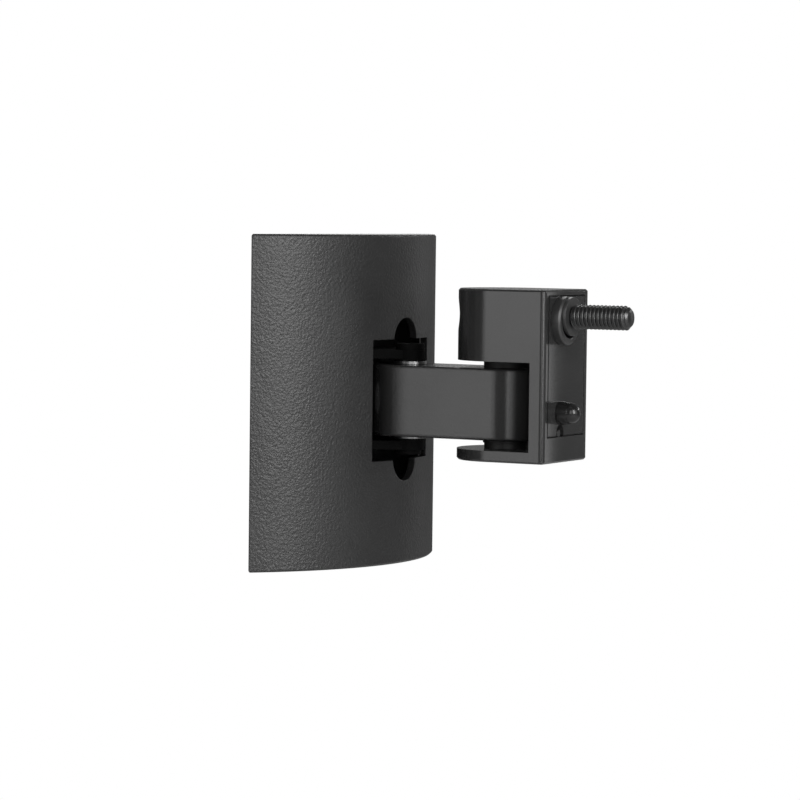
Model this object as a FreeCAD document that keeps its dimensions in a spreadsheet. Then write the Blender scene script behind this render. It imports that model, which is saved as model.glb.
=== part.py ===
# Speaker wall bracket: a curved cover over a small wall plate, a short swivelling arm
# and a cast head that carries the captive stud for the loudspeaker.
# Millimetres. X points out of the wall, Z up; the wall is the plane X = 0 and the
# arm's middle is at Z = 0. The arm and the head stand straight out, as in the rest pose.
import FreeCAD, Part
import math
import os
import Sketcher

doc = FreeCAD.newDocument("speaker_wall_bracket")
sheet = doc.addObject("Spreadsheet::Sheet", "dim")

# Driving sizes: name, value, what it is
DRIVING = [
    # Wall cover
    ("cover_width", 59.0, "width of the cover across its two straight edges"),
    ("cover_height", 55.0, "height of the cover"),
    ("cover_bow_radius", 40.7, "radius of the cover's outer curve"),
    ("cover_wall", 1.2, "moulded wall of the cover"),
    ("cover_end_wall", 1.2, "wall of the cover's top and bottom ends"),
    ("cover_gap", 0.3, "gap from the cover's edges to the wall"),
    ("cover_rim", 0.3, "chamfer of the cover's outer rims"),
    ("opening_width", 18.8, "width of the opening for the arm"),
    ("opening_height", 20.2, "height of the opening for the arm"),
    ("notch_radius", 3.9, "radius of the half-round notches"),
    ("notch_reach", 13.7, "height of a notch's crown above the arm's middle"),
    ("tongue_width", 6.0, "width of the two snap tongues"),
    ("tongue_thickness", 1.3, "thickness of a snap tongue"),
    ("barb_height", 1.1, "height of a tongue's barb"),
    ("barb_length", 1.9, "length of a barb's ramp"),
    ("snap_gap", 0.15, "clearance of the snap fit all round"),
    # Wall plate and yoke
    ("plate_sheet", 1.5, "sheet of the wall plate"),
    ("plate_side_gap", 0.6, "gap between the wall plate's sides and the cover's inner curve"),
    ("plate_height", 46.0, "height over the wall plate's folded flanges"),
    ("flange_width", 24.0, "width of a folded flange"),
    ("flange_depth", 5.5, "how far a flange stands off the wall"),
    ("fold_radius", 0.5, "inside radius of every fold"),
    ("window_start", 2.2, "distance of a snap window from the wall"),
    ("slot_width", 4.6, "width of the wall screw slots"),
    ("slot_length", 8.6, "length of the wall screw slots"),
    ("slot_spacing", 31.0, "distance between the two slots' centres"),
    ("yoke_sheet", 1.5, "sheet of the folded yoke"),
    ("yoke_width", 16.0, "width of the yoke at the plate"),
    ("ear_radius", 2.5, "radius of the ears' ends"),
    ("rivet_radius", 1.5, "radius of a rivet's shank"),
    ("rivet_head_radius", 2.5, "radius of a rivet's head"),
    ("rivet_head_height", 0.9, "height of a rivet's head"),
    ("rivet_margin", 0.3, "distance from a rivet's head to the yoke's side"),
    # Arm
    ("arm_height", 11.8, "height of the arm"),
    ("arm_radius", 6.2, "half the arm's thickness and the radius of its ends"),
    ("arm_reach", 18.4, "distance between the arm's two pivots"),
    ("arm_edge", 0.3, "chamfer of the arm's edges"),
    ("pivot_stand_out", 0.75, "how far the wall pivot stands in front of the cover"),
    # Pivot hardware
    ("pivot_radius", 1.5, "radius of the pivot pin and of the pivot screw"),
    ("running_gap", 0.05, "clearance of a turning fit"),
    ("joint_gap", 0.02, "clearance between fixed pieces that touch"),
    ("pin_head_radius", 2.4, "radius of the wall pivot pin's head"),
    ("pin_head_height", 1.0, "height of the wall pivot pin's head"),
    ("peened_radius", 2.0, "radius of the wall pivot pin's peened end"),
    ("peened_height", 0.8, "height of the wall pivot pin's peened end"),
    ("small_washer_radius", 2.8, "outer radius of the wall pivot's washers"),
    ("washer_thickness", 0.5, "thickness of the steel washers"),
    ("wave_thickness", 0.4, "thickness of the wall pivot's thin spring washers"),
    ("large_washer_radius", 4.0, "outer radius of the head pivot's washers"),
    ("pad_thickness", 1.2, "thickness of the nylon washer above the arm"),
    ("spring_thickness", 0.95, "thickness of the pressed spring washer below the arm"),
    ("spring_split", 0.6, "width of the split in that spring washer"),
    ("sunk_head_radius", 2.8, "radius of the head pivot screw's sunk head"),
    ("sunk_head_depth", 1.5, "depth of the head pivot screw's sunk head"),
    ("socket_flats", 2.0, "width across flats of the head pivot screw's socket"),
    ("thread_depth", 3.6, "depth of the head pivot screw's thread in the casting"),
    # Head
    ("head_width", 16.6, "width of the cast head"),
    ("front_reach", 10.65, "distance from the head pivot to the head's front"),
    ("front_wall", 2.6, "thickness of the casting in front of the arm's slot"),
    ("lug_thickness", 1.85, "thickness of the lug below the arm"),
    ("block_height", 11.8, "height of the block above the arm"),
    ("corner_round", 0.8, "rounding of the head's front corners"),
    ("head_rim", 0.3, "chamfer of the head's top and bottom edges"),
    ("panel_sheet", 1.0, "sheet of the inset front plate"),
    ("panel_gap", 0.15, "gap round the inset front plate"),
    ("panel_margin_side", 1.5, "rim of the casting beside the front plate"),
    ("panel_margin_top", 0.85, "rim of the casting above the front plate"),
    ("panel_margin_bottom", 4.2, "rim of the casting below the front plate"),
    ("panel_notch_radius", 1.2, "radius of the notch in the plate's lower edge"),
    ("panel_pip_radius", 0.6, "radius of the cast pip in that notch"),
    # Loudspeaker stud and locating pin
    ("stud_radius", 2.0, "radius of the stud's thread"),
    ("stud_length", 20.0, "length of the stud under its head"),
    ("stud_stand_out", 12.45, "how far the stud stands out of the head"),
    ("stud_rise", 7.5, "height of the stud above the arm's slot"),
    ("stud_offset", 2.05, "how far stud, pin and notch sit beside the middle"),
    ("stud_chamfer", 0.6, "chamfer of the stud's tip"),
    ("stud_head_radius", 3.3, "radius of the stud's head"),
    ("stud_head_height", 3.6, "height of the stud's head"),
    ("stud_socket_flats", 3.0, "width across flats of the stud's socket"),
    ("stud_neck_radius", 1.55, "radius of the stud's plain neck"),
    ("bush_radius", 3.95, "radius of the bush's flange"),
    ("bush_flange", 1.6, "thickness of the bush's flange"),
    ("bush_shank_radius", 3.4, "radius of the bush's shank"),
    ("bush_shank", 2.5, "length of the bush's shank"),
    ("bush_drop", 0.7, "how far the bush's axis lies below the stud's"),
    ("bush_bore_radius", 2.9, "radius of the bush's bore"),
    ("ring_radius", 3.17, "radius of the stud's retaining ring"),
    ("ring_thickness", 0.6, "thickness of the stud's retaining ring"),
    ("pin_rise", 3.95, "height of the locating pin above the plate's lower edge"),
    ("pin_base_radius", 1.95, "radius of the locating pin's foot"),
    ("pin_foot", 0.35, "height of the locating pin's foot"),
    ("pin_radius", 1.72, "radius of the locating pin's dome"),
    ("pin_height", 3.55, "height of the locating pin"),
    ("pin_shank_radius", 1.2, "radius of the locating pin's riveted shank"),
]


def fill_sheet():
    """Writes each driving size into the sheet, with its name beside it."""
    for row, (name, value, meaning) in enumerate(DRIVING, start=1):
        sheet.set("A%d" % row, meaning)
        sheet.set("B%d" % row, str(value))
        sheet.setAlias("B%d" % row, name)
    doc.recompute()


fill_sheet()

# Places that follow from the driving sizes, each written once
BOW_CENTRE = "sqrt(dim.cover_bow_radius^2 - dim.cover_width^2 / 4)"
COVER_DEPTH = "(dim.cover_bow_radius - %s)" % BOW_CENTRE
PLATE_SIDE = ("(sqrt((dim.cover_bow_radius - dim.cover_wall)^2"
              " - (%s + dim.plate_sheet - dim.cover_gap)^2) - dim.plate_side_gap)" % BOW_CENTRE)
RIVET_Y = "(dim.yoke_width / 2 - dim.rivet_margin - dim.rivet_head_radius)"
WALL_PIVOT_X = "(dim.cover_gap + %s + dim.pivot_stand_out)" % COVER_DEPTH
HEAD_PIVOT_X = "(%s + dim.arm_reach)" % WALL_PIVOT_X
FRONT_X = "(%s + dim.front_reach)" % HEAD_PIVOT_X
ARM_TOP = "(dim.arm_height / 2 + dim.running_gap)"
EAR_INNER = "(%s + dim.washer_thickness + dim.wave_thickness)" % ARM_TOP
EAR_OUTER = "(%s + dim.yoke_sheet)" % EAR_INNER
SLOT_TOP = "(%s + dim.pad_thickness)" % ARM_TOP
SLOT_DEPTH = "(%s + dim.washer_thickness + dim.spring_thickness)" % ARM_TOP
HEAD_TOP = "(%s + dim.block_height)" % SLOT_TOP
HEAD_DEPTH = "(%s + dim.lug_thickness)" % SLOT_DEPTH
STUD_Z = "(%s + dim.stud_rise)" % SLOT_TOP
PANEL_TOP = "(%s - dim.panel_margin_top)" % HEAD_TOP
PANEL_DEPTH = "(%s - dim.panel_margin_bottom)" % HEAD_DEPTH
PIN_Z = "(dim.pin_rise - %s)" % PANEL_DEPTH
SEAT = "(dim.stud_length - dim.stud_stand_out)"


def number(text):
    """Gives the present value of an expression in millimetres."""
    return float(sheet.evalExpression(text))


def new_body(label, x="0", y="0", z="0"):
    """Starts a sub-part as a body whose place is tied to the sheet."""
    body = doc.addObject("PartDesign::Body", label)
    body.Label = label
    body.setExpression("Placement.Base.x", x)
    body.setExpression("Placement.Base.y", y)
    body.setExpression("Placement.Base.z", z)
    return body


def new_sketch(body, name, role, offset="0"):
    """Starts a sketch on one of the body's own origin planes, moved along its normal."""
    sketch = body.newObject("Sketcher::SketchObject", body.Label + "_" + name)
    plane = next(item for item in body.Origin.OriginFeatures if item.Role == role)
    sketch.AttachmentSupport = [(plane, "")]
    sketch.MapMode = "FlatFace"
    sketch.setExpression("AttachmentOffset.Base.z", offset)
    return sketch


def tie(sketch, kind, *where_and_text):
    """Adds one constraint whose value is an expression."""
    *where, text = where_and_text
    index = sketch.addConstraint(Sketcher.Constraint(kind, *where, number(text)))
    sketch.setExpression("Constraints[%d]" % index, text)


def tie_point(sketch, shape, end, x, y):
    """Ties a point's distance from the sketch's origin, where an expression is given."""
    if x is not None:
        tie(sketch, "DistanceX", -1, 1, shape, end, x)
    if y is not None:
        tie(sketch, "DistanceY", -1, 1, shape, end, y)


def circle(sketch, x, y, radius):
    """Draws a circle tied by its centre and radius."""
    centre = FreeCAD.Vector(number(x), number(y), 0)
    index = sketch.addGeometry(Part.Circle(centre, FreeCAD.Vector(0, 0, 1), number(radius)))
    tie_point(sketch, index, 3, x, y)
    tie(sketch, "Radius", index, radius)


def corner(x, y, ties="xy", centre=None, turn=1, radius=None):
    """One corner of an outline. With a centre, the edge to the next corner is an arc."""
    return {"x": x, "y": y, "ties": ties, "centre": centre, "turn": turn, "radius": radius}


def point_of(one):
    """Gives a corner's present position."""
    return FreeCAD.Vector(number(one["x"]), number(one["y"]), 0)


def draw_edge(sketch, one, following):
    """Draws the edge that leaves a corner and gives its number, first end and last end."""
    first = point_of(one)
    last = point_of(following)
    if one["centre"] is None:
        return sketch.addGeometry(Part.LineSegment(first, last)), 1, 2
    middle = FreeCAD.Vector(number(one["centre"][0]), number(one["centre"][1]), 0)
    start, stop = (first, last) if one["turn"] > 0 else (last, first)
    from_angle = math.atan2(start.y - middle.y, start.x - middle.x)
    to_angle = math.atan2(stop.y - middle.y, stop.x - middle.x)
    if to_angle <= from_angle:
        to_angle += 2 * math.pi
    ring = Part.Circle(middle, FreeCAD.Vector(0, 0, 1), (start - middle).Length)
    index = sketch.addGeometry(Part.ArcOfCircle(ring, from_angle, to_angle))
    tie_point(sketch, index, 3, *one["centre"])
    if one["radius"] is not None:
        tie(sketch, "Radius", index, one["radius"])
    return (index, 1, 2) if one["turn"] > 0 else (index, 2, 1)


def outline(sketch, corners):
    """Draws a closed outline of straight edges and arcs, each corner tied as it says."""
    edges = []
    for index, one in enumerate(corners):
        edges.append(draw_edge(sketch, one, corners[(index + 1) % len(corners)]))
    for index, (shape, first, last) in enumerate(edges):
        following = edges[(index + 1) % len(edges)]
        sketch.addConstraint(Sketcher.Constraint("Coincident", shape, last, following[0], following[1]))
    for one, (shape, first, last) in zip(corners, edges):
        x = one["x"] if "x" in one["ties"] else None
        y = one["y"] if "y" in one["ties"] else None
        tie_point(sketch, shape, first, x, y)


def rectangle(sketch, west, east, south, north):
    """Draws a rectangle tied by its four sides."""
    outline(sketch, [corner(west, south), corner(east, south), corner(east, north), corner(west, north)])


def hexagon(sketch, flats):
    """Draws a hexagon about the origin with two flats facing along the sketch's Y axis."""
    corners = []
    for index in range(6):
        angle = index * 60
        corners.append(corner("%s / sqrt(3) * cos(%d deg)" % (flats, angle),
                              "%s / sqrt(3) * sin(%d deg)" % (flats, angle)))
    outline(sketch, corners)


def stadium(sketch, x, radius):
    """Draws a bar with round ends from the origin to the point X on the X axis."""
    outline(sketch, [
        corner("0", "-" + radius, ties="x"),
        corner(x, "-" + radius, centre=(x, "0")),
        corner(x, radius, ties="x"),
        corner("0", radius, centre=("0", "0")),
    ])


def check(feature, name):
    """Stops the build if a feature came out empty, failed or invalid."""
    doc.recompute()
    if "Invalid" in feature.State or "Error" in feature.State:
        raise RuntimeError("%s failed" % name)
    if feature.Shape.isNull() or not feature.Shape.isValid():
        raise RuntimeError("%s has no sound shape" % name)


def add_feature(body, kind, name, profile=None):
    """Adds a feature to a body and gives it its sketch."""
    feature = body.newObject("PartDesign::" + kind, body.Label + "_" + name)
    if profile is not None:
        feature.Profile = profile
        profile.Visibility = False
    return feature


def pad(body, name, sketch, length, symmetric=False, reverse=False):
    """Pads a sketch along its normal, or evenly to both sides of its plane."""
    feature = add_feature(body, "Pad", name, sketch)
    feature.SideType = "Symmetric" if symmetric else "One side"
    feature.Reversed = reverse
    feature.setExpression("Length", length)
    check(feature, feature.Name)
    return feature


def pocket(body, name, sketch, length=None, symmetric=False, reverse=False):
    """Cuts a sketch out of the body and makes sure that it took material away."""
    before = body.Shape.Volume
    feature = add_feature(body, "Pocket", name, sketch)
    feature.SideType = "Symmetric" if symmetric else "One side"
    feature.Reversed = reverse
    if length is None:
        feature.Type = "ThroughAll"
    else:
        feature.setExpression("Length", length)
    check(feature, feature.Name)
    if feature.Shape.Volume >= before:
        raise RuntimeError("%s cut nothing" % feature.Name)
    return feature


def revolve(body, name, sketch, axis="V_Axis"):
    """Turns a sketch once round one of its own axes."""
    feature = add_feature(body, "Revolution", name, sketch)
    feature.ReferenceAxis = (sketch, [axis])
    feature.Angle = 360
    check(feature, feature.Name)
    return feature


def groove(body, name, sketch, axis="V_Axis"):
    """Turns a sketch once round one of its own axes and cuts it away."""
    before = body.Shape.Volume
    feature = add_feature(body, "Groove", name, sketch)
    feature.ReferenceAxis = (sketch, [axis])
    feature.Angle = 360
    check(feature, feature.Name)
    if feature.Shape.Volume >= before:
        raise RuntimeError("%s cut nothing" % feature.Name)
    return feature


def ease_edges(body, name, size, belongs, chamfer=False):
    """Rounds, or chamfers, every edge of the body's present shape that the test picks."""
    base = body.Tip
    picked = []
    for index, edge in enumerate(base.Shape.Edges, start=1):
        if belongs(edge):
            picked.append("Edge%d" % index)
    feature = add_feature(body, "Chamfer" if chamfer else "Fillet", name)
    feature.Base = (base, picked)
    feature.setExpression("Size" if chamfer else "Radius", size)
    check(feature, feature.Name)
    body.Tip = feature
    return feature


def lies_at(edge, axis, place):
    """Tells whether a whole edge lies in the plane at that place of the axis."""
    box = edge.BoundBox
    low, high = {"x": (box.XMin, box.XMax), "y": (box.YMin, box.YMax), "z": (box.ZMin, box.ZMax)}[axis]
    return abs(low - place) < 1e-4 and abs(high - place) < 1e-4


def turned_piece(label, steps, x="0", y="0", z="0", along="z"):
    """Starts a body that is turned about its own axis from a list of profile corners.

    Each step is (radius, place along the axis). The profile closes along the axis.
    """
    body = new_body(label, x, y, z)
    if along == "z":
        sketch = new_sketch(body, "profile", "XZ_Plane")
        outline(sketch, [corner(radius, place) for radius, place in steps])
        revolve(body, "turned", sketch, "V_Axis")
    else:
        sketch = new_sketch(body, "profile", "XZ_Plane")
        outline(sketch, [corner(place, radius) for radius, place in steps])
        revolve(body, "turned", sketch, "H_Axis")
    return body


def ring(label, outer, bore, thickness, x, z):
    """A flat washer about the Z axis, its lower face at the given place."""
    body = new_body(label, x, "0", z)
    sketch = new_sketch(body, "face", "XY_Plane")
    circle(sketch, "0", "0", outer)
    circle(sketch, "0", "0", bore)
    pad(body, "sheet", sketch, thickness)
    return body


def make_wall_cover():
    """The moulded cover: a bowed front, closed top and bottom, open to the wall."""
    body = new_body("wall_cover", "dim.cover_gap")
    half = "dim.cover_width / 2"
    centre = ("-" + BOW_CENTRE, "0")
    sketch = new_sketch(body, "plan", "XY_Plane")
    outline(sketch, [corner("0", "-" + half, centre=centre), corner("0", half, ties="x")])
    pad(body, "bow", sketch, "dim.cover_height", symmetric=True)
    rim = number("dim.cover_height") / 2
    curve = number("dim.cover_bow_radius")

    def is_rim(edge):
        at_rim = lies_at(edge, "z", rim) or lies_at(edge, "z", -rim)
        return at_rim and hasattr(edge.Curve, "Radius") and abs(edge.Curve.Radius - curve) < 1e-4

    ease_edges(body, "rims", "dim.cover_rim", is_rim, chamfer=True)
    hollow_cover(body, centre)
    cut_cover_opening(body)
    add_snap_tongues(body)
    return body


def hollow_cover(body, centre):
    """Hollows the cover from the wall side, leaving its wall and its two ends."""
    sketch = new_sketch(body, "hollow_plan", "XY_Plane")
    inner = "(dim.cover_bow_radius - dim.cover_wall)"
    back = "-dim.cover_wall"
    side = "sqrt(%s^2 - (%s - dim.cover_wall)^2)" % (inner, BOW_CENTRE)
    outline(sketch, [
        corner(back, "-" + side, ties="x", centre=centre, radius=inner),
        corner(back, side, ties="x"),
    ])
    pocket(body, "hollow", sketch, "dim.cover_height - 2 * dim.cover_end_wall", symmetric=True)


def cut_cover_opening(body):
    """Cuts the opening for the arm, with a half-round notch above and below."""
    sketch = new_sketch(body, "opening_face", "YZ_Plane")
    side = "dim.opening_width / 2"
    top = "dim.opening_height / 2"
    notch = "(dim.notch_reach - dim.notch_radius)"
    foot = "sqrt(dim.notch_radius^2 - (%s - %s)^2)" % (top, notch)
    outline(sketch, [
        corner("-" + side, "-" + top),
        corner("-" + foot, "-" + top, ties="y", centre=("0", "-" + notch), radius="dim.notch_radius"),
        corner(foot, "-" + top, ties="y"),
        corner(side, "-" + top),
        corner(side, top),
        corner(foot, top, ties="y", centre=("0", notch), radius="dim.notch_radius"),
        corner("-" + foot, top, ties="y"),
        corner("-" + side, top),
    ])
    pocket(body, "opening", sketch, reverse=True)


def add_snap_tongues(body):
    """Adds the two barbed tongues that snap into the wall plate's flanges."""
    inner = "(dim.plate_height / 2 + dim.snap_gap)"
    outer = "(%s + dim.tongue_thickness)" % inner
    half = "dim.tongue_width / 2"
    start = "(dim.window_start + 2 * dim.snap_gap - dim.cover_gap - 1)"
    sketch = new_sketch(body, "tongue_ends", "YZ_Plane", start)
    rectangle(sketch, "-" + half, half, inner, outer)
    rectangle(sketch, "-" + half, half, "-" + outer, "-" + inner)
    pad(body, "tongues", sketch, "%s - 2 * dim.cover_wall / 3 - %s" % (COVER_DEPTH, start))
    root = "(%s + 1)" % start
    tip = "(%s + dim.barb_length)" % root
    sketch = new_sketch(body, "barb_sides", "XZ_Plane")
    for sign in ("", "-"):
        outline(sketch, [
            corner(root, sign + inner),
            corner(tip, "%s(%s - dim.barb_height)" % (sign, inner)),
            corner(tip, "%s(%s + dim.tongue_thickness / 2)" % (sign, inner)),
            corner(root, "%s(%s + dim.tongue_thickness / 2)" % (sign, inner)),
        ])
    pad(body, "barbs", sketch, "dim.tongue_width", symmetric=True)


def folded_channel(body, depth, height, sheet_size):
    """Pads the side view of a sheet folded over at its top and bottom, standing off X = 0."""
    outer = "(dim.fold_radius + %s)" % sheet_size
    inner = "(%s - %s)" % (height, sheet_size)
    bend = "(%s - %s)" % (height, outer)
    sketch = new_sketch(body, "fold_side", "XZ_Plane")
    outline(sketch, [
        corner(depth, height),
        corner(outer, height, centre=(outer, bend)),
        corner("0", bend, ties="y"),
        corner("0", "-" + bend, centre=(outer, "-" + bend)),
        corner(outer, "-" + height, ties="x"),
        corner(depth, "-" + height),
        corner(depth, "-" + inner),
        corner(outer, "-" + inner, centre=(outer, "-" + bend), turn=-1),
        corner(sheet_size, "-" + bend, ties="y"),
        corner(sheet_size, bend, centre=(outer, bend), turn=-1),
        corner(outer, inner, ties="x"),
        corner(depth, inner),
    ])
    return sketch


def make_wall_plate():
    """The pressed plate on the wall: folded flanges with snap windows, and screw holes."""
    body = new_body("wall_plate")
    top = "(dim.plate_height / 2)"
    pad(body, "folds", folded_channel(body, "dim.flange_depth", top, "dim.plate_sheet"),
        "dim.flange_width", symmetric=True)
    bend = "(%s - dim.fold_radius - dim.plate_sheet)" % top
    sketch = new_sketch(body, "face", "YZ_Plane")
    rectangle(sketch, "-" + PLATE_SIDE, PLATE_SIDE, "-" + bend, bend)
    pad(body, "sheet", sketch, "dim.plate_sheet")
    cut_plate_holes(body)
    return body


def cut_plate_holes(body):
    """Cuts the snap windows, the wall screw slots and the rivet holes."""
    half = "(dim.tongue_width / 2 + 2 * dim.snap_gap)"
    stop = "(dim.window_start + dim.barb_length + 4 * dim.snap_gap)"
    sketch = new_sketch(body, "window_plan", "XY_Plane")
    rectangle(sketch, "dim.window_start", stop, "-" + half, half)
    pocket(body, "windows", sketch, symmetric=True)
    sketch = new_sketch(body, "slot_face", "YZ_Plane")
    radius = "dim.slot_width / 2"
    reach = "((dim.slot_length - dim.slot_width) / 2)"
    for sign in ("", "-"):
        low = "(%sdim.slot_spacing / 2 - %s)" % (sign, reach)
        high = "(%sdim.slot_spacing / 2 + %s)" % (sign, reach)
        outline(sketch, [
            corner("-" + radius, low, centre=("0", low)),
            corner(radius, low, ties="y"),
            corner(radius, high, centre=("0", high)),
            corner("-" + radius, high, ties="y"),
        ])
    pocket(body, "screw_holes", sketch, reverse=True)
    sketch = new_sketch(body, "rivet_face", "YZ_Plane")
    rivet_circles(sketch)
    pocket(body, "rivet_holes", sketch, reverse=True)


def rivet_circles(sketch):
    """Draws the two rivet holes."""
    for sign in ("", "-"):
        circle(sketch, sign + RIVET_Y, "0", "dim.rivet_radius + dim.joint_gap")


def make_wall_yoke():
    """The folded yoke: a web on the wall plate and two tapered ears round the arm's end."""
    body = new_body("wall_yoke", "dim.plate_sheet")
    pivot = "(%s - dim.plate_sheet)" % WALL_PIVOT_X
    half = "dim.yoke_width / 2"
    far = "(%s + dim.ear_radius)" % pivot
    shoulder = "(dim.yoke_sheet + dim.fold_radius)"
    pad(body, "folds", folded_channel(body, far, EAR_OUTER, "dim.yoke_sheet"), "dim.yoke_width", symmetric=True)
    sketch = new_sketch(body, "ear_plan", "XY_Plane")
    outline(sketch, [
        corner(shoulder, "-dim.yoke_width"),
        corner(far + " + 1", "-dim.yoke_width"),
        corner(far + " + 1", "dim.yoke_width"),
        corner(shoulder, "dim.yoke_width"),
        corner(shoulder, half),
        corner(pivot, "dim.ear_radius", centre=(pivot, "0"), turn=-1),
        corner(pivot, "-dim.ear_radius", ties="x"),
        corner(shoulder, "-" + half),
    ])
    pocket(body, "ear_shape", sketch, symmetric=True)
    sketch = new_sketch(body, "pivot_plan", "XY_Plane")
    circle(sketch, pivot, "0", "dim.pivot_radius + dim.joint_gap")
    pocket(body, "pivot_holes", sketch, symmetric=True)
    sketch = new_sketch(body, "rivet_face", "YZ_Plane")
    rivet_circles(sketch)
    pocket(body, "rivet_holes", sketch, reverse=True)
    return body


def make_yoke_rivets():
    """Two rivets that hold the yoke to the wall plate, flush with the plate's back."""
    rivets = []
    for name, sign in (("rivet_near", "-"), ("rivet_far", "")):
        shank = doc.addObject("Part::Cylinder", name + "_shank")
        shank.setExpression("Radius", "dim.rivet_radius")
        shank.setExpression("Height", "dim.plate_sheet + dim.yoke_sheet + dim.rivet_head_height / 2")
        head = doc.addObject("Part::Cylinder", name + "_head")
        head.setExpression("Radius", "dim.rivet_head_radius")
        head.setExpression("Height", "dim.rivet_head_height")
        head.setExpression("Placement.Base.z", "dim.plate_sheet + dim.yoke_sheet + dim.joint_gap")
        rivet = doc.addObject("Part::MultiFuse", name)
        rivet.Shapes = [shank, head]
        rivet.Placement.Rotation = FreeCAD.Rotation(FreeCAD.Vector(0, 1, 0), 90)
        rivet.setExpression("Placement.Base.y", sign + RIVET_Y)
        rivets.append(rivet)
    group = doc.addObject("Part::Compound", "yoke_rivets")
    group.Label = "yoke_rivets"
    group.Links = rivets
    return group


def make_wall_pivot_pin():
    """The headed pin through the yoke and the arm, its lower end peened over."""
    top = "(%s + dim.pin_head_height)" % EAR_OUTER
    low = "-(%s + dim.peened_height)" % EAR_OUTER
    steps = [
        ("0", low),
        ("dim.peened_radius", low),
        ("dim.peened_radius", "-%s - dim.joint_gap" % EAR_OUTER),
        ("dim.pivot_radius", "-%s - dim.joint_gap" % EAR_OUTER),
        ("dim.pivot_radius", EAR_OUTER + " + dim.joint_gap"),
        ("dim.pin_head_radius", EAR_OUTER + " + dim.joint_gap"),
        ("dim.pin_head_radius", top),
        ("0", top),
    ]
    return turned_piece("wall_pivot_pin", steps, WALL_PIVOT_X)


def make_wall_washers():
    """The bright steel washers at the arm's wall end, each with a thin spring washer behind it."""
    bore = "dim.pivot_radius + 0.1"
    small = "dim.small_washer_radius"
    ring("wall_washer_upper", small, bore, "dim.washer_thickness", WALL_PIVOT_X, ARM_TOP)
    ring("wall_washer_lower", small, bore, "dim.washer_thickness", WALL_PIVOT_X,
         "-%s - dim.washer_thickness" % ARM_TOP)
    thin = "dim.small_washer_radius - 0.2"
    ring("wall_spring_washer_upper", thin, bore, "dim.wave_thickness", WALL_PIVOT_X,
         ARM_TOP + " + dim.washer_thickness")
    ring("wall_spring_washer_lower", thin, bore, "dim.wave_thickness", WALL_PIVOT_X, "-" + EAR_INNER)


def make_arm():
    """The arm: a smooth cast bar with round ends and a pivot bore near each end."""
    body = new_body("arm", WALL_PIVOT_X)
    sketch = new_sketch(body, "plan", "XY_Plane")
    stadium(sketch, "dim.arm_reach", "dim.arm_radius")
    pad(body, "bar", sketch, "dim.arm_height", symmetric=True)
    top = number("dim.arm_height") / 2
    ease_edges(body, "edges", "dim.arm_edge",
               lambda edge: lies_at(edge, "z", top) or lies_at(edge, "z", -top), chamfer=True)
    sketch = new_sketch(body, "bore_plan", "XY_Plane")
    circle(sketch, "0", "0", "dim.pivot_radius + dim.running_gap")
    circle(sketch, "dim.arm_reach", "0", "dim.pivot_radius + dim.running_gap")
    pocket(body, "bores", sketch, symmetric=True)
    return body


def make_head_casting():
    """The cast head: D-shaped in plan, slotted for the arm, recessed for the front plate."""
    body = new_body("head_casting", HEAD_PIVOT_X)
    half = "dim.head_width / 2"
    sketch = new_sketch(body, "plan", "XY_Plane", "-" + HEAD_DEPTH)
    outline(sketch, [
        corner("0", "-" + half, ties="x"),
        corner("dim.front_reach", "-" + half),
        corner("dim.front_reach", half),
        corner("0", half, centre=("0", "0")),
    ])
    pad(body, "block", sketch, "%s + %s" % (HEAD_DEPTH, HEAD_TOP))
    front = number("dim.front_reach")
    side = number(half)
    top = number(HEAD_TOP)
    low = -number(HEAD_DEPTH)

    def is_front_corner(edge):
        return lies_at(edge, "x", front) and (lies_at(edge, "y", side) or lies_at(edge, "y", -side))

    ease_edges(body, "corners", "dim.corner_round", is_front_corner)
    ease_edges(body, "rims", "dim.head_rim",
               lambda edge: lies_at(edge, "z", top) or lies_at(edge, "z", low), chamfer=True)
    cut_arm_slot(body)
    cut_panel_recess(body)
    cut_stud_bores(body)
    cut_head_pivot(body)
    return body


def cut_arm_slot(body):
    """Cuts the slot for the arm from the rear and both sides."""
    back = "(dim.front_reach - dim.front_wall)"
    sketch = new_sketch(body, "slot_side", "XZ_Plane")
    rectangle(sketch, "-dim.head_width", back, "-" + SLOT_DEPTH, SLOT_TOP)
    pocket(body, "slot", sketch, symmetric=True)


def cut_panel_recess(body):
    """Sinks the recess for the front plate, with the pip that its notch fits round."""
    side = "(dim.head_width / 2 - dim.panel_margin_side)"
    face = "(dim.front_reach - dim.panel_sheet)"
    sketch = new_sketch(body, "recess_face", "YZ_Plane", face)
    rectangle(sketch, "-" + side, side, "-" + PANEL_DEPTH, PANEL_TOP)
    pocket(body, "recess", sketch, "2 * dim.panel_sheet", reverse=True)
    sketch = new_sketch(body, "pip_face", "YZ_Plane", face)
    circle(sketch, "-dim.stud_offset", "-%s + dim.panel_pip_radius" % PANEL_DEPTH, "dim.panel_pip_radius")
    pad(body, "pip", sketch, "0.8 * dim.panel_sheet")
    sketch = new_sketch(body, "pin_face", "YZ_Plane", face)
    circle(sketch, "-dim.stud_offset", PIN_Z, "dim.pin_shank_radius + dim.joint_gap")
    pocket(body, "pin_hole", sketch, "dim.front_wall")


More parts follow.
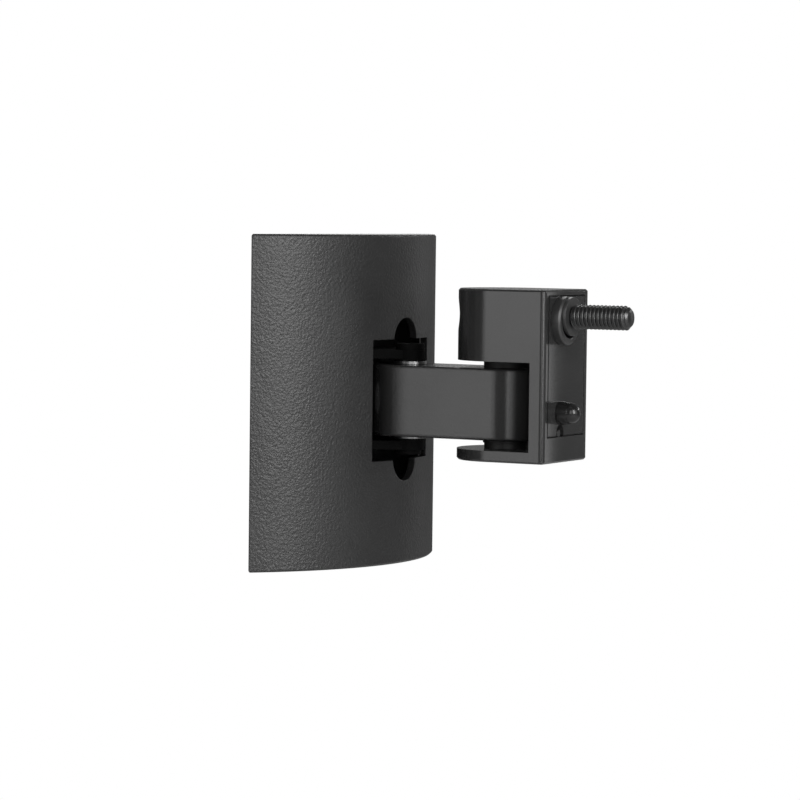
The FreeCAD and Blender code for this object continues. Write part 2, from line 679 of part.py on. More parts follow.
def cut_stud_bores(body):
    """Bores the head from the rear for the stud's head, and from the front for its bush."""
    seat = "(dim.front_reach - %s)" % SEAT
    sketch = new_sketch(body, "stud_seat", "YZ_Plane", seat)
    circle(sketch, "-dim.stud_offset", STUD_Z, "dim.stud_head_radius + dim.running_gap")
    pocket(body, "stud_head_bore", sketch, "%s + dim.head_width" % seat)
    sketch = new_sketch(body, "stud_hole_face", "YZ_Plane", "dim.front_reach")
    circle(sketch, "-dim.stud_offset", STUD_Z, "dim.stud_radius + dim.running_gap")
    pocket(body, "stud_hole", sketch, "%s + 1" % SEAT)
    sketch = new_sketch(body, "bush_face", "YZ_Plane", "dim.front_reach")
    circle(sketch, "-dim.stud_offset", "%s - dim.bush_drop" % STUD_Z, "dim.bush_shank_radius + dim.joint_gap")
    pocket(body, "bush_hole", sketch, "dim.bush_shank")


def cut_head_pivot(body):
    """Cuts the pivot screw's hole, sunk for its head below and blind above the slot."""
    low = "-" + HEAD_DEPTH
    sketch = new_sketch(body, "pivot_side", "XZ_Plane")
    shank = "(dim.pivot_radius + dim.joint_gap)"
    head = "(dim.sunk_head_radius + dim.joint_gap)"
    deep = "(%s + dim.sunk_head_depth)" % low
    outline(sketch, [
        corner("0", low + " - 0.1"),
        corner(head, low + " - 0.1"),
        corner(head, low + " + 0.15"),
        corner(shank, deep),
        corner(shank, "%s + dim.thread_depth" % SLOT_TOP),
        corner("0", "%s + dim.thread_depth" % SLOT_TOP),
    ])
    groove(body, "pivot_hole", sketch)


def make_front_plate():
    """The inset plate on the head's front, notched at its lower edge."""
    body = new_body("front_plate", "%s - dim.panel_sheet" % FRONT_X)
    side = "(dim.head_width / 2 - dim.panel_margin_side - dim.panel_gap)"
    top = "(%s - dim.panel_gap)" % PANEL_TOP
    low = "-(%s - dim.panel_gap)" % PANEL_DEPTH
    notch = "dim.panel_notch_radius"
    middle = "(%s + dim.panel_pip_radius)" % low
    sketch = new_sketch(body, "face", "YZ_Plane")
    outline(sketch, [
        corner("-" + side, low),
        corner("-dim.stud_offset - " + notch, low),
        corner("-dim.stud_offset - " + notch, middle, centre=("-dim.stud_offset", middle), turn=-1),
        corner("-dim.stud_offset + " + notch, middle, ties="y"),
        corner("-dim.stud_offset + " + notch, low),
        corner(side, low), corner(side, top), corner("-" + side, top),
    ])
    circle(sketch, "-dim.stud_offset", "%s - dim.bush_drop" % STUD_Z, "dim.bush_shank_radius + dim.joint_gap")
    circle(sketch, "-dim.stud_offset", PIN_Z, "dim.pin_shank_radius + dim.joint_gap")
    pad(body, "sheet", sketch, "dim.panel_sheet")
    return body


def make_stud_bush():
    """The flanged bush in the head's front that the stud passes through."""
    steps = [
        ("dim.bush_bore_radius", "-dim.bush_shank + dim.joint_gap"),
        ("dim.bush_shank_radius", "-dim.bush_shank + dim.joint_gap"),
        ("dim.bush_shank_radius", "dim.joint_gap"),
        ("dim.bush_radius", "dim.joint_gap"),
        ("dim.bush_radius", "dim.bush_flange - 0.3"),
        ("dim.bush_radius - 0.3", "dim.bush_flange"),
        ("dim.bush_bore_radius", "dim.bush_flange"),
    ]
    return turned_piece("stud_bush", steps, FRONT_X, "-dim.stud_offset",
                        "%s - dim.bush_drop" % STUD_Z, along="x")


def make_stud():
    """The captive stud: a socket head in the casting and a thread that stands out."""
    tip = "dim.stud_length"
    neck = "(%s + dim.bush_flange + dim.ring_thickness + dim.running_gap)" % SEAT
    steps = [
        ("0", "-dim.stud_head_height"),
        ("dim.stud_head_radius", "-dim.stud_head_height"),
        ("dim.stud_head_radius", "-dim.joint_gap"),
        ("dim.stud_neck_radius", "-dim.joint_gap"),
        ("dim.stud_neck_radius", neck),
        ("dim.stud_radius", neck),
        ("dim.stud_radius", "%s - dim.stud_chamfer" % tip),
        ("dim.stud_radius - dim.stud_chamfer", tip),
        ("0", tip),
    ]
    body = turned_piece("stud", steps, "%s - %s" % (FRONT_X, SEAT), "-dim.stud_offset", STUD_Z, along="x")
    sketch = new_sketch(body, "socket", "YZ_Plane", "-dim.stud_head_height")
    hexagon(sketch, "dim.stud_socket_flats")
    pocket(body, "hex_socket", sketch, "dim.stud_head_height * 0.6", reverse=True)
    return body


def make_stud_ring():
    """The ring on the stud's neck, between the bush and the thread, that keeps it captive."""
    bore = "dim.stud_neck_radius + dim.joint_gap"
    steps = [
        (bore, "dim.running_gap"),
        ("dim.ring_radius", "dim.running_gap"),
        ("dim.ring_radius", "dim.ring_thickness"),
        (bore, "dim.ring_thickness"),
    ]
    return turned_piece("stud_retaining_ring", steps, "%s + dim.bush_flange" % FRONT_X,
                        "-dim.stud_offset", STUD_Z, along="x")


def make_locating_pin():
    """The domed locating pin, its shank riveted through the front plate and the casting."""
    body = new_body("locating_pin", FRONT_X, "-dim.stud_offset", PIN_Z)
    shoulder = "(dim.pin_height - dim.pin_radius)"
    back = "-dim.front_wall"
    sketch = new_sketch(body, "profile", "XZ_Plane")
    outline(sketch, [
        corner(back, "0"),
        corner("dim.pin_height", "0", ties="y", centre=(shoulder, "0"), radius="dim.pin_radius"),
        corner(shoulder, "dim.pin_radius", ties="x"),
        corner("dim.pin_foot", "dim.pin_base_radius"),
        corner("dim.joint_gap", "dim.pin_base_radius"),
        corner("dim.joint_gap", "dim.pin_shank_radius"),
        corner(back, "dim.pin_shank_radius"),
    ])
    revolve(body, "turned", sketch, "H_Axis")
    return body


def make_head_pivot_screw():
    """The sunk-head screw up through the lug and the arm into the casting."""
    low = "-" + HEAD_DEPTH
    top = "(%s + dim.thread_depth - 0.3)" % SLOT_TOP
    steps = [
        ("0", low + " + 0.1"),
        ("dim.sunk_head_radius", low + " + 0.1"),
        ("dim.sunk_head_radius", low + " + 0.15"),
        ("dim.pivot_radius", low + " + dim.sunk_head_depth"),
        ("dim.pivot_radius", top),
        ("0", top),
    ]
    body = turned_piece("head_pivot_screw", steps, HEAD_PIVOT_X)
    sketch = new_sketch(body, "socket", "XY_Plane", low)
    hexagon(sketch, "dim.socket_flats")
    pocket(body, "hex_socket", sketch, "dim.sunk_head_depth * 0.8", reverse=True)
    return body


def make_head_washers():
    """The nylon washer above the arm, and the steel and spring washers below it."""
    bore = "dim.pivot_radius + 0.1"
    ring("head_nylon_washer", "dim.large_washer_radius", bore, "dim.pad_thickness - dim.joint_gap",
         HEAD_PIVOT_X, ARM_TOP)
    ring("head_steel_washer", "dim.large_washer_radius", bore, "dim.washer_thickness",
         HEAD_PIVOT_X, "-%s - dim.washer_thickness" % ARM_TOP)


def make_head_spring_washer():
    """The split spring washer between the steel washer and the lug, pressed flat."""
    outer = "dim.large_washer_radius - 0.2"
    body = ring("head_spring_washer", outer, "dim.pivot_radius + 0.2", "dim.spring_thickness - 2 * dim.joint_gap",
                HEAD_PIVOT_X, "-%s + dim.joint_gap" % SLOT_DEPTH)
    sketch = new_sketch(body, "split_plan", "XY_Plane")
    rectangle(sketch, "-dim.spring_split / 2", "dim.spring_split / 2", "0", "dim.large_washer_radius")
    pocket(body, "split", sketch, symmetric=True)


def export_parts():
    """Checks every sub-part and writes it under its own name."""
    doc.recompute()
    os.makedirs("parts", exist_ok=True)
    for item in doc.Objects:
        if "Invalid" in item.State or "Error" in item.State:
            raise RuntimeError("%s is in error" % item.Name)
        if item.isDerivedFrom("Sketcher::SketchObject") and not item.FullyConstrained:
            raise RuntimeError("%s is not fully tied" % item.Name)
        if item.TypeId in ("PartDesign::Body", "Part::Compound"):
            if item.Shape.isNull() or not item.Shape.isValid():
                raise RuntimeError("%s has no sound shape" % item.Label)
            item.Shape.exportStep("parts/%s.step" % item.Label)


make_wall_cover()
make_wall_plate()
make_wall_yoke()
make_yoke_rivets()
make_wall_pivot_pin()
make_wall_washers()
make_arm()
make_head_casting()
make_front_plate()
make_stud_bush()
make_stud()
make_stud_ring()
make_locating_pin()
make_head_pivot_screw()
make_head_washers()
make_head_spring_washer()
export_parts()
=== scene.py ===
import math

import bmesh
import bpy
from mathutils import Matrix, Vector


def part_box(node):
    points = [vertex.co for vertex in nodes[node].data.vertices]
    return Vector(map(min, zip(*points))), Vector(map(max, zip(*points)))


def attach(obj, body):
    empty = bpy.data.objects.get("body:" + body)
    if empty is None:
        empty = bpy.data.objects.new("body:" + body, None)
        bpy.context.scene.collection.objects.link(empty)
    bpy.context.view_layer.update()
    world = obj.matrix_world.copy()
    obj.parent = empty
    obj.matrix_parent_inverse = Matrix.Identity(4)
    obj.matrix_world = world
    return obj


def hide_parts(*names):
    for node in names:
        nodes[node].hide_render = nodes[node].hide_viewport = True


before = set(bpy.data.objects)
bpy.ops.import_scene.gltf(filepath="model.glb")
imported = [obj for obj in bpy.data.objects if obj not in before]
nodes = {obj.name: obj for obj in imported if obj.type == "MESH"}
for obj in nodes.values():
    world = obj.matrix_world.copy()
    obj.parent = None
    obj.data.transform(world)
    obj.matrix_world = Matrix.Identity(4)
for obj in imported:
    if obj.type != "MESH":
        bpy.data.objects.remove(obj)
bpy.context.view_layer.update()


# Camera: the bracket is seen from the side of its arm and a little from above, with a long
# lens, as in the product photograph. It floats in front of a white sweep.
MM = 0.001
LENS_MM = 157.5
SENSOR_MM = 36.0
CAMERA_AZIMUTH = math.radians(28.593)
CAMERA_ELEVATION = math.radians(3.103)
CAMERA_ROLL = math.radians(0.682)
CAMERA_DISTANCE = 587.11 * MM
CAMERA_NEAR = 0.05
CAMERA_FAR = 20.0
CAMERA_TARGET = Vector((11.884, 0.0, -0.193)) * MM


def place_camera():
    """Stands the camera off the target and tips it by the photograph's small roll."""
    away = Vector((
        math.sin(CAMERA_AZIMUTH) * math.cos(CAMERA_ELEVATION),
        -math.cos(CAMERA_AZIMUTH) * math.cos(CAMERA_ELEVATION),
        math.sin(CAMERA_ELEVATION),
    ))
    right = (-away).cross(Vector((0, 0, 1))).normalized()
    up = right.cross(-away)
    cos_roll = math.cos(CAMERA_ROLL)
    sin_roll = math.sin(CAMERA_ROLL)
    rolled_right = right * cos_roll + up * sin_roll
    rolled_up = up * cos_roll - right * sin_roll
    data = bpy.data.cameras.new("camera")
    data.lens = LENS_MM
    data.sensor_width = SENSOR_MM
    data.clip_start = CAMERA_NEAR
    data.clip_end = CAMERA_FAR
    camera = bpy.data.objects.new("camera", data)
    turn = Matrix((rolled_right, rolled_up, away)).transposed().to_4x4()
    camera.matrix_world = Matrix.Translation(CAMERA_TARGET + away * CAMERA_DISTANCE) @ turn
    bpy.context.scene.collection.objects.link(camera)
    bpy.context.scene.camera = camera


place_camera()
bpy.context.scene.view_settings.view_transform = "Standard"


# Studio light: a dim room with a white sweep behind the bracket. Tall soft boxes stand round it,
# each where the photograph shows a light band on the cover, the arm or the head.
class Wire:
    """A shader socket that Python's operators work on, each adding its Math node."""

    def __init__(self, board, socket):
        self.board = board
        self.socket = socket

    def math(self, operation, other=None, swap=False):
        """Adds a Math node on this socket; swap puts this socket second."""
        values = [self] if other is None else ([other, self] if swap else [self, other])
        return self.board.node("ShaderNodeMath", {"operation": operation}, dict(enumerate(values)))

    def __add__(self, other):
        return self.math("ADD", other)

    def __radd__(self, other):
        return self.math("ADD", other, swap=True)

    def __sub__(self, other):
        return self.math("SUBTRACT", other)

    def __rsub__(self, other):
        return self.math("SUBTRACT", other, swap=True)

    def __mul__(self, other):
        return self.math("MULTIPLY", other)


class Board:
    """One material's or the world's node tree, emptied and ready to be wired."""

    def __init__(self, owner):
        owner.use_nodes = True
        self.tree = owner.node_tree
        self.tree.nodes.clear()

    def node(self, kind, settings=None, inputs=None, output=0):
        """Adds a node of any kind, sets and wires it, and gives back one of its outputs."""
        made = self.tree.nodes.new(kind)
        for name, value in (settings or {}).items():
            if name == "stops":
                self.set_stops(made.color_ramp, value)
            else:
                setattr(made, name, value)
        for name, value in (inputs or {}).items():
            if isinstance(value, Wire):
                self.tree.links.new(value.socket, made.inputs[name])
            else:
                made.inputs[name].default_value = value
        return Wire(self, made.outputs[output]) if len(made.outputs) else None

    def set_stops(self, ramp, stops):
        """Sets a new colour ramp's two stops."""
        for element, (place, grey) in zip(ramp.elements, stops):
            element.position = place
            element.color = (grey, grey, grey, 1.0)

    def ramp(self, factor, stops):
        """Turns a number into a grey between two stops, each (place, grey)."""
        return self.node("ShaderNodeValToRGB", {"stops": stops}, {"Fac": factor})

    def mix(self, factor, first, second):
        """Blends two colours; 6, 7 and output 2 are the Mix node's colour sockets."""
        sockets = {"Factor": factor, 6: first, 7: second}
        return self.node("ShaderNodeMix", {"data_type": "RGBA"}, sockets, 2)


ROOM_LEVEL = 0.135
SWEEP_EDGE = 0.975
SWEEP_FULL = 0.995
SWEEP_SHEEN = 0.1
WHITE = (1, 1, 1, 1)


def light_world():
    """Lights the dim room; the sweep is white to the lens and faint in reflections."""
    world = bpy.data.worlds.new("studio")
    bpy.context.scene.world = world
    board = Board(world)
    place = board.node("ShaderNodeTexCoord", output="Generated")
    rearward = (-math.sin(CAMERA_AZIMUTH), math.cos(CAMERA_AZIMUTH), 0.0)
    facing = board.node("ShaderNodeVectorMath", {"operation": "DOT_PRODUCT"},
                        {0: place, 1: rearward}, "Value")
    sweep = board.ramp(facing, [(SWEEP_EDGE, 0.0), (SWEEP_FULL, 1.0)])
    lens = board.node("ShaderNodeLightPath", output="Is Camera Ray")
    mirrored = board.node("ShaderNodeLightPath", output="Is Glossy Ray")
    room = board.node("ShaderNodeBackground", inputs={"Color": WHITE, "Strength": ROOM_LEVEL})
    white = board.node("ShaderNodeBackground", inputs={"Color": WHITE, "Strength": 1.0})
    share = lens + (1 - lens) * mirrored * sweep * SWEEP_SHEEN
    mixed = board.node("ShaderNodeMixShader", inputs={0: share, 1: room, 2: white})
    board.node("ShaderNodeOutputWorld", inputs={"Surface": mixed})


light_world()


BOX_DISTANCE = 1.2
LIT_POINT = Vector((20, 0, 0)) * MM


def soft_box(name, azimuth, elevation, width, height, energy):
    """Stands a rectangular lamp facing the arm, in degrees, metres and watts.

    Azimuth 0 is straight out from the wall and rises towards the side away from the camera.
    """
    azimuth = math.radians(azimuth)
    elevation = math.radians(elevation)
    away = Vector((
        math.cos(azimuth) * math.cos(elevation),
        math.sin(azimuth) * math.cos(elevation),
        math.sin(elevation),
    ))
    data = bpy.data.lights.new(name, "AREA")
    data.shape = "RECTANGLE"
    data.size = width
    data.size_y = height
    data.energy = energy
    lamp = bpy.data.objects.new(name, data)
    turn = away.to_track_quat("Z", "Y").to_matrix().to_4x4()
    lamp.matrix_world = Matrix.Translation(LIT_POINT + away * BOX_DISTANCE) @ turn
    bpy.context.scene.collection.objects.link(lamp)


for soft_box_setting in (
    ("wall_side_box", -118, 19, 0.25, 1.2, 1.85),
    ("wall_near_box", -108, 12, 0.25, 0.8, 0.85),
    ("near_box", -62, 14, 0.2, 0.8, 1.5),
    ("near_front_box", -52, 12, 0.2, 0.8, 0.7),
    ("wide_front_box", -25, 17, 0.9, 0.8, 2.0),
    ("narrow_front_box", -20, 17, 0.36, 0.8, 7.8),
    ("straight_box", 5, 12, 0.36, 0.8, 1.0),
    ("far_key", 62, 22, 0.15, 0.15, 1.0),
    ("far_side_box", 76, 12, 0.2, 0.8, 0.32),
    ("far_wall_box", 117, 30, 0.36, 0.6, 2.0),
    ("overhead_box", -30, 80, 0.7, 0.7, 0.3),
):
    soft_box(*soft_box_setting)


# Floor: a pale painted table top far below the bracket, which hangs in the air as in the
# photograph. It is as white to the lens as the sweep and pale grey to everything else.
FLOOR_REACH = 6.0
FLOOR_DROP = 0.35
FLOOR_GREY = (0.8, 0.8, 0.8, 1)


def lay_floor():
    """Makes the floor and its paint."""
    shape = bmesh.new()
    bmesh.ops.create_grid(shape, x_segments=1, y_segments=1, size=FLOOR_REACH)
    bmesh.ops.translate(shape, vec=(0, 0, -FLOOR_DROP), verts=shape.verts)
    mesh = bpy.data.meshes.new("floor")
    shape.to_mesh(mesh)
    shape.free()
    floor = bpy.data.objects.new("floor", mesh)
    bpy.context.scene.collection.objects.link(floor)
    material = bpy.data.materials.new("pale_floor")
    board = Board(material)
    pale = board.node("ShaderNodeBsdfDiffuse", inputs={"Color": FLOOR_GREY})
    white = board.node("ShaderNodeEmission", inputs={"Color": WHITE, "Strength": 1.0})
    lens = board.node("ShaderNodeLightPath", output="Is Camera Ray")
    mixed = board.node("ShaderNodeMixShader", inputs={0: lens, 1: pale, 2: white})
    board.node("ShaderNodeOutputMaterial", inputs={"Surface": mixed})
    mesh.materials.append(material)


lay_floor()


# Wall cover: one bowed moulding in black plastic, spark-eroded to a leather-like grain.
# It snaps over the wall plate and hides its screws; the arm comes out of its opening.
BLOTCH_SIZE = 14 * MM
BLOTCH_DETAIL = 3.0
SPECK_SIZE = 0.25 * MM
SPECK_DETAIL = 2.0
BLOTCH_IN_TONE = 0.6
SPECK_IN_TONE = 0.4
TONE_RANGE = [(0.35, 0.0), (0.65, 1.0)]
# The edge mask lightens worn edges on every finish; on the front plate it also lays the painted
# shadow along the gap.
TURN_IN_WEAR = 4
BLOTCH_IN_WEAR = 0.5
SPECK_IN_WEAR = 0.3
WEAR_RANGE = [(0.62, 0.0), (0.95, 1.0)]
GLOSS_SPREAD = 0.06
WORN_POLISH = 0.08
BEVEL_SAMPLES = 4
DISH_START = -0.5 * MM
DISH_WIDTH = 7.8 * MM
DISH_DEPTH = 0.48 * MM
# The near-black of the painted shadow along the gap round the front plate.
PAINTED_SEAM_SHADOW_BLACK = (0.002, 0.002, 0.002, 1)


def grain(board, size, depth, detail, lumpy, under):
    """Adds one layer of relief of the given feature size and depth, in millimetres."""
    place = board.node("ShaderNodeTexCoord", output="Object")
    sockets = {"Vector": place, "Scale": 1.0 / (size * MM), "Detail": detail}
    if lumpy:
        sockets["Smoothness"] = 1.0
        height = board.node("ShaderNodeTexVoronoi", {"feature": "SMOOTH_F1"}, sockets)
    else:
        height = board.node("ShaderNodeTexNoise", {}, sockets)
    joints = {"Height": height, "Distance": depth * MM, "Strength": 1.0, "Normal": under}
    return board.node("ShaderNodeBump", {}, joints)


def dish(board, under):
    """Curls the near side of the head's front face up by a hair, so that it catches the light."""
    place = board.node("ShaderNodeTexCoord", output="Object")
    across = board.node("ShaderNodeSeparateXYZ", {}, {"Vector": place}, "Y")
    reach = ((DISH_START - across) * (1 / DISH_WIDTH)).math("MAXIMUM", 0.0)
    joints = {"Height": reach * reach, "Distance": DISH_DEPTH, "Strength": 1.0, "Normal": under}
    return board.node("ShaderNodeBump", {}, joints)


def finish(name, grey, roughness, layers, metallic=0.0, mottle=0.1, edge=0.12, worn=1.6, shine=0.5,
           dished=False, painted_gap_shadow=False):
    """Mixes a factory finish: relief in layers, uneven tone and gloss, and lighter rubbed edges.

    Each layer is (feature size, depth, detail, lumpy), coarse first. edge is the rounding of
    the edges in millimetres, worn is how many times lighter a worn edge is, and mottle is
    how far the tone strays. shine is the strength of the mirror light of a finish that isn't
    metallic. A dished finish curls up at its near side, by a bump. The last switch mixes
    matte black into the finish along its edges, by the same edge mask: a painted shadow of
    the gap where the piece meets its frame.
    """
    material = bpy.data.materials.new(name)
    board = Board(material)
    place = board.node("ShaderNodeTexCoord", output="Object")
    blotches = board.node("ShaderNodeTexNoise", {},
                          {"Vector": place, "Scale": 1.0 / BLOTCH_SIZE, "Detail": BLOTCH_DETAIL})
    specks = board.node("ShaderNodeTexNoise", {},
                        {"Vector": place, "Scale": 1.0 / SPECK_SIZE, "Detail": SPECK_DETAIL})
    rounded = board.node("ShaderNodeBevel", {"samples": BEVEL_SAMPLES}, {"Radius": edge * MM})
    straight = board.node("ShaderNodeNewGeometry", output="Normal")
    turned = board.node("ShaderNodeVectorMath", {"operation": "DOT_PRODUCT"},
                        {0: rounded, 1: straight}, "Value")
    wear_and_gap_shadow_score = (1 - turned) * TURN_IN_WEAR + blotches * BLOTCH_IN_WEAR + specks * SPECK_IN_WEAR
    wear_and_gap_shadow_mask = board.ramp(wear_and_gap_shadow_score, WEAR_RANGE)
    uneven = board.ramp(blotches * BLOTCH_IN_TONE + specks * SPECK_IN_TONE, TONE_RANGE)
    low, high, bare = ([grey * factor] * 3 + [1] for factor in (1 - mottle, 1 + mottle, worn))
    tone = board.mix(wear_and_gap_shadow_mask, board.mix(uneven, low, high), bare)
    gloss = roughness - GLOSS_SPREAD / 2 + uneven * GLOSS_SPREAD - wear_and_gap_shadow_mask * WORN_POLISH
    surface = dish(board, rounded) if dished else rounded
    for layer in layers:
        surface = grain(board, *layer, surface)
    shader = board.node("ShaderNodeBsdfPrincipled", {}, {
        "Base Color": tone,
        "Roughness": gloss,
        "Metallic": metallic,
        "Specular IOR Level": shine,
        "Normal": surface,
    })
    # Painted shadow: matte black mixed in along the edges that the edge mask picks, for the shade
    # in the gap round the piece.
    if painted_gap_shadow:
        shadow = board.node("ShaderNodeBsdfDiffuse", {}, {"Color": PAINTED_SEAM_SHADOW_BLACK})
        shader = board.node("ShaderNodeMixShader", {}, {0: wear_and_gap_shadow_mask, 1: shader, 2: shadow})
    board.node("ShaderNodeOutputMaterial", {}, {"Surface": shader})
    return material


def dress(material, *names):
    """Gives the named CAD nodes a finish."""
    for name in names:
        slots = nodes[name].data.materials
        slots.clear()
        slots.append(material)


COVER_GRAIN = [(0.5, 0.058, 1.3, False), (0.34, 0.034, 1.0, True)]
leather_grain_plastic = finish("leather_grain_plastic", 0.022, 0.37, COVER_GRAIN,
                               mottle=0.12, edge=0.25, worn=1.3)
dress(leather_grain_plastic, "wall_cover")


# Wall plate and yoke: two pressed steel sheets, blackened, held together by two rivets.
# Only the yoke's ends show from the front, in the dark of the cover's opening. Its black is
# ten times darker than the plate's and almost without shine: painted shade for that dark.
SHEET_TOOTH = [(0.3, 0.006, 3.0, False)]
blackened_yoke_in_painted_shade = finish("blackened_yoke_in_painted_shade", 0.005, 0.7, SHEET_TOOTH, edge=0.15, shine=0.04)
blackened_plate = finish("blackened_plate", 0.05, 0.45, SHEET_TOOTH, edge=0.15)
rivet_steel = finish("rivet_steel", 0.12, 0.38, [(0.3, 0.004, 3.0, False)], metallic=0.6, edge=0.2)
dress(blackened_yoke_in_painted_shade, "wall_yoke")
dress(blackened_plate, "wall_plate")
dress(rivet_steel, "yoke_rivets")


# Wall pivot: a blackened pin peened over below the yoke, bright zinc washers above and
# below the arm, and a thin dark spring washer behind each. Pin and spring washers take the
# yoke's darkened black, nearly without shine: painted shade of the cover's opening.
blackened_pin_in_painted_shade = finish("blackened_pin_in_painted_shade", 0.005, 0.7, [(0.2, 0.004, 3.0, False)],
                       edge=0.2, shine=0.04)
zinc_washer = finish("zinc_washer", 0.3, 0.35, [(0.15, 0.002, 3.0, False)],
                     metallic=1.0, edge=0.08, worn=1.1)
dress(blackened_pin_in_painted_shade, "wall_pivot_pin", "wall_spring_washer_upper", "wall_spring_washer_lower")
dress(zinc_washer, "wall_washer_upper", "wall_washer_lower")


# Arm: a die-cast bar with round ends, tumbled smooth and sprayed satin black. It turns on
# the wall pivot at one end and carries the head at the other.
ARM_PAINT = [(0.5, 0.010, 2.0, False), (0.12, 0.002, 2.0, False)]
satin_black_arm = finish("satin_black_arm", 0.026, 0.18, ARM_PAINT, edge=0.5, worn=1.3)
dress(satin_black_arm, "arm")


# Head: a die-cast block slotted for the arm and sprayed in the same black. The front plate
# is pressed, sprayed too, and let into the head's face; its edges are mixed with matte black,
# a painted shadow of the narrow gap round it.
HEAD_PAINT = [(0.45, 0.006, 2.0, False), (0.12, 0.002, 2.0, False)]
PLATE_PAINT = [(0.35, 0.006, 2.0, False), (0.1, 0.002, 2.0, False)]
satin_black_head = finish("satin_black_head", 0.028, 0.17, HEAD_PAINT,
                          edge=0.1, worn=1.1, dished=True)
# Painted shadow: the plate's edges and hole rims are mixed with matte black for the shade in the
# gap round it.
black_plate_with_painted_gap_shadow = finish("black_plate_with_painted_gap_shadow", 0.026, 0.16, PLATE_PAINT,
                            edge=0.45, worn=1.0, dished=True, painted_gap_shadow=True)
dress(satin_black_head, "head_casting")
dress(black_plate_with_painted_gap_shadow, "front_plate")


# Stud bush and retaining ring: turned steel, blackened and oiled, with fine turning marks.
# The bush is pressed into the head, and the ring sits on the stud's neck in front of it.
oiled_black_bush = finish("oiled_black_bush", 0.05, 0.4, [(0.12, 0.003, 2.0, False)],
                          metallic=0.4, edge=0.2)
dress(oiled_black_bush, "stud_bush", "stud_retaining_ring")


# Stud: an M4 socket-head screw, blackened. Its head turns in the casting and its neck is
# thinned, so that the ring keeps it captive; the rolled thread stands out of the front.
PITCH = 0.7 * MM
CREST_RADIUS = 2.0 * MM
CREST_FLAT = 0.09 * MM
THREAD_DEPTH = 0.4 * MM
FLANK_ANGLE = math.radians(30)
NECK_RADIUS = 1.55 * MM
RUN_IN_LENGTH = 0.45 * MM
RUN_IN_RISE = 0.465 * MM
TIP_CHAMFER = 0.68 * MM
RING_GAP = 0.04 * MM
TURNS_BEFORE = 1.5
TURNS_AFTER = 2
STEPS_PER_TURN = 72
CUTS_PER_FLANK = 2
WELD = 1e-6
SHARP_FOLD = math.radians(35)


def saw_off(shape, place, side):
    """Saws a shape off square at a place on X, on the + or - side, and closes the cut."""
    bmesh.ops.bisect_plane(shape, geom=shape.verts[:] + shape.edges[:] + shape.faces[:],
                           dist=WELD / 10, plane_co=(place, 0, 0), plane_no=(side, 0, 0),
                           clear_outer=True)
    rim = [edge for edge in shape.edges if edge.is_boundary and
           all(abs(vert.co.x - place) < WELD for vert in edge.verts)]
    bmesh.ops.holes_fill(shape, edges=rim, sides=0)


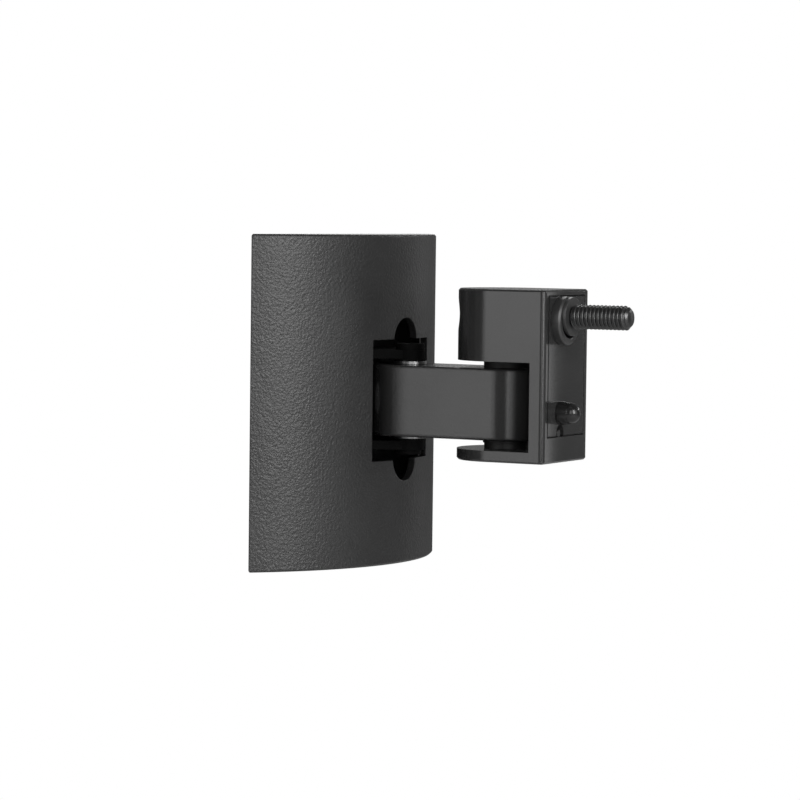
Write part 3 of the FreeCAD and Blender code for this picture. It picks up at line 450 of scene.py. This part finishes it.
def roll_thread(start, end, axis):
    """Rolls a right-handed thread along X, then saws and chamfers it at start and end."""
    root = CREST_RADIUS - THREAD_DEPTH
    flank = THREAD_DEPTH * math.tan(FLANK_ANGLE)
    root_flat = PITCH - CREST_FLAT - 2 * flank
    begin = start - TURNS_BEFORE * PITCH
    turns = math.ceil((end - begin) / PITCH) + TURNS_AFTER
    shape = bmesh.new()
    profile = [
        (0.0, root),
        (root_flat, root),
        (root_flat + flank, CREST_RADIUS),
        (root_flat + flank + CREST_FLAT, CREST_RADIUS),
        (PITCH, root),
    ]
    corners = [shape.verts.new((begin + along, axis[1], axis[2] + out)) for along, out in profile]
    edges = [shape.edges.new(pair) for pair in zip(corners, corners[1:])]
    bmesh.ops.subdivide_edges(shape, edges=edges, cuts=CUTS_PER_FLANK)
    bmesh.ops.spin(shape, geom=shape.verts[:] + shape.edges[:], cent=axis, axis=(1, 0, 0),
                   dvec=(PITCH / STEPS_PER_TURN, 0, 0), angle=2 * math.pi, steps=STEPS_PER_TURN)
    shape.verts.index_update()
    for parts in (shape.edges, shape.faces):
        # The spin leaves these in any order, and sorted they give the same mesh each run.
        parts.sort(key=lambda part: sum(vert.index ** 2 for vert in part.verts))
    one_turn = shape.verts[:] + shape.edges[:] + shape.faces[:]
    for turn in range(1, turns):
        copied = bmesh.ops.duplicate(shape, geom=one_turn)["geom"]
        bmesh.ops.translate(shape, vec=(turn * PITCH, 0, 0),
                            verts=[item for item in copied if isinstance(item, bmesh.types.BMVert)])
    bmesh.ops.remove_doubles(shape, verts=shape.verts, dist=WELD)
    saw_off(shape, start, -1)
    saw_off(shape, end, 1)
    for vert in shape.verts:
        limit = min(NECK_RADIUS + (vert.co.x - start) * RUN_IN_RISE / RUN_IN_LENGTH,
                    CREST_RADIUS - TIP_CHAMFER + (end - vert.co.x))
        out = Vector((0, vert.co.y - axis[1], vert.co.z - axis[2]))
        if out.length > limit:
            vert.co = Vector((vert.co.x, axis[1], axis[2])) + out * (limit / out.length)
    return shape


def cut_stud_head(end):
    """Takes the screw's head and neck from the CAD node, up to the start of the thread."""
    shape = bmesh.new()
    shape.from_mesh(nodes["stud"].data)
    bmesh.ops.remove_doubles(shape, verts=shape.verts, dist=WELD)
    saw_off(shape, end, 1)
    return shape


def make_stud():
    """Joins head and thread into one piece, which stands for the CAD stud."""
    low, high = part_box("stud")
    ring_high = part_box("stud_retaining_ring")[1]
    axis = [(least + most) / 2 for least, most in zip(low, high)]
    start = ring_high[0] + RING_GAP
    head = cut_stud_head(start)
    mesh = bpy.data.meshes.new("threaded_stud")
    head.to_mesh(mesh)
    head.free()
    thread = roll_thread(start, high[0], axis)
    thread.from_mesh(mesh)
    bmesh.ops.recalc_face_normals(thread, faces=thread.faces)
    thread.to_mesh(mesh)
    thread.free()
    mesh.polygons.foreach_set("use_smooth", [True] * len(mesh.polygons))
    mesh.set_sharp_from_angle(angle=SHARP_FOLD)
    mesh.materials.append(blackened_thread)
    stud = bpy.data.objects.new("threaded_stud", mesh)
    bpy.context.scene.collection.objects.link(stud)
    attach(stud, "stud")
    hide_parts("stud")


blackened_thread = finish("blackened_thread", 0.075, 0.33, [(0.1, 0.002, 2.0, False)],
                          metallic=0.8, edge=0.05, worn=2.0)
make_stud()


# Locating pin: a domed steel pin, polished and blackened, riveted through the front plate.
# It finds the small hole beside the threaded one in the speaker's back.
polished_black_pin = finish("polished_black_pin", 0.01, 0.2, [(0.2, 0.0006, 1.0, False)],
                            mottle=0.03, edge=0.05)
dress(polished_black_pin, "locating_pin")


# Head pivot: a sunk socket screw from below, a nylon washer above the arm, and a steel and
# a spring washer below it, all dark.
dark_nylon = finish("dark_nylon", 0.015, 0.55, [(0.3, 0.004, 2.0, False)], edge=0.1)
dark_washers = finish("dark_washers", 0.02, 0.5, [(0.15, 0.003, 2.0, False)],
                      metallic=0.3, edge=0.1)
dress(dark_nylon, "head_nylon_washer")
dress(dark_washers, "head_pivot_screw", "head_steel_washer", "head_spring_washer")
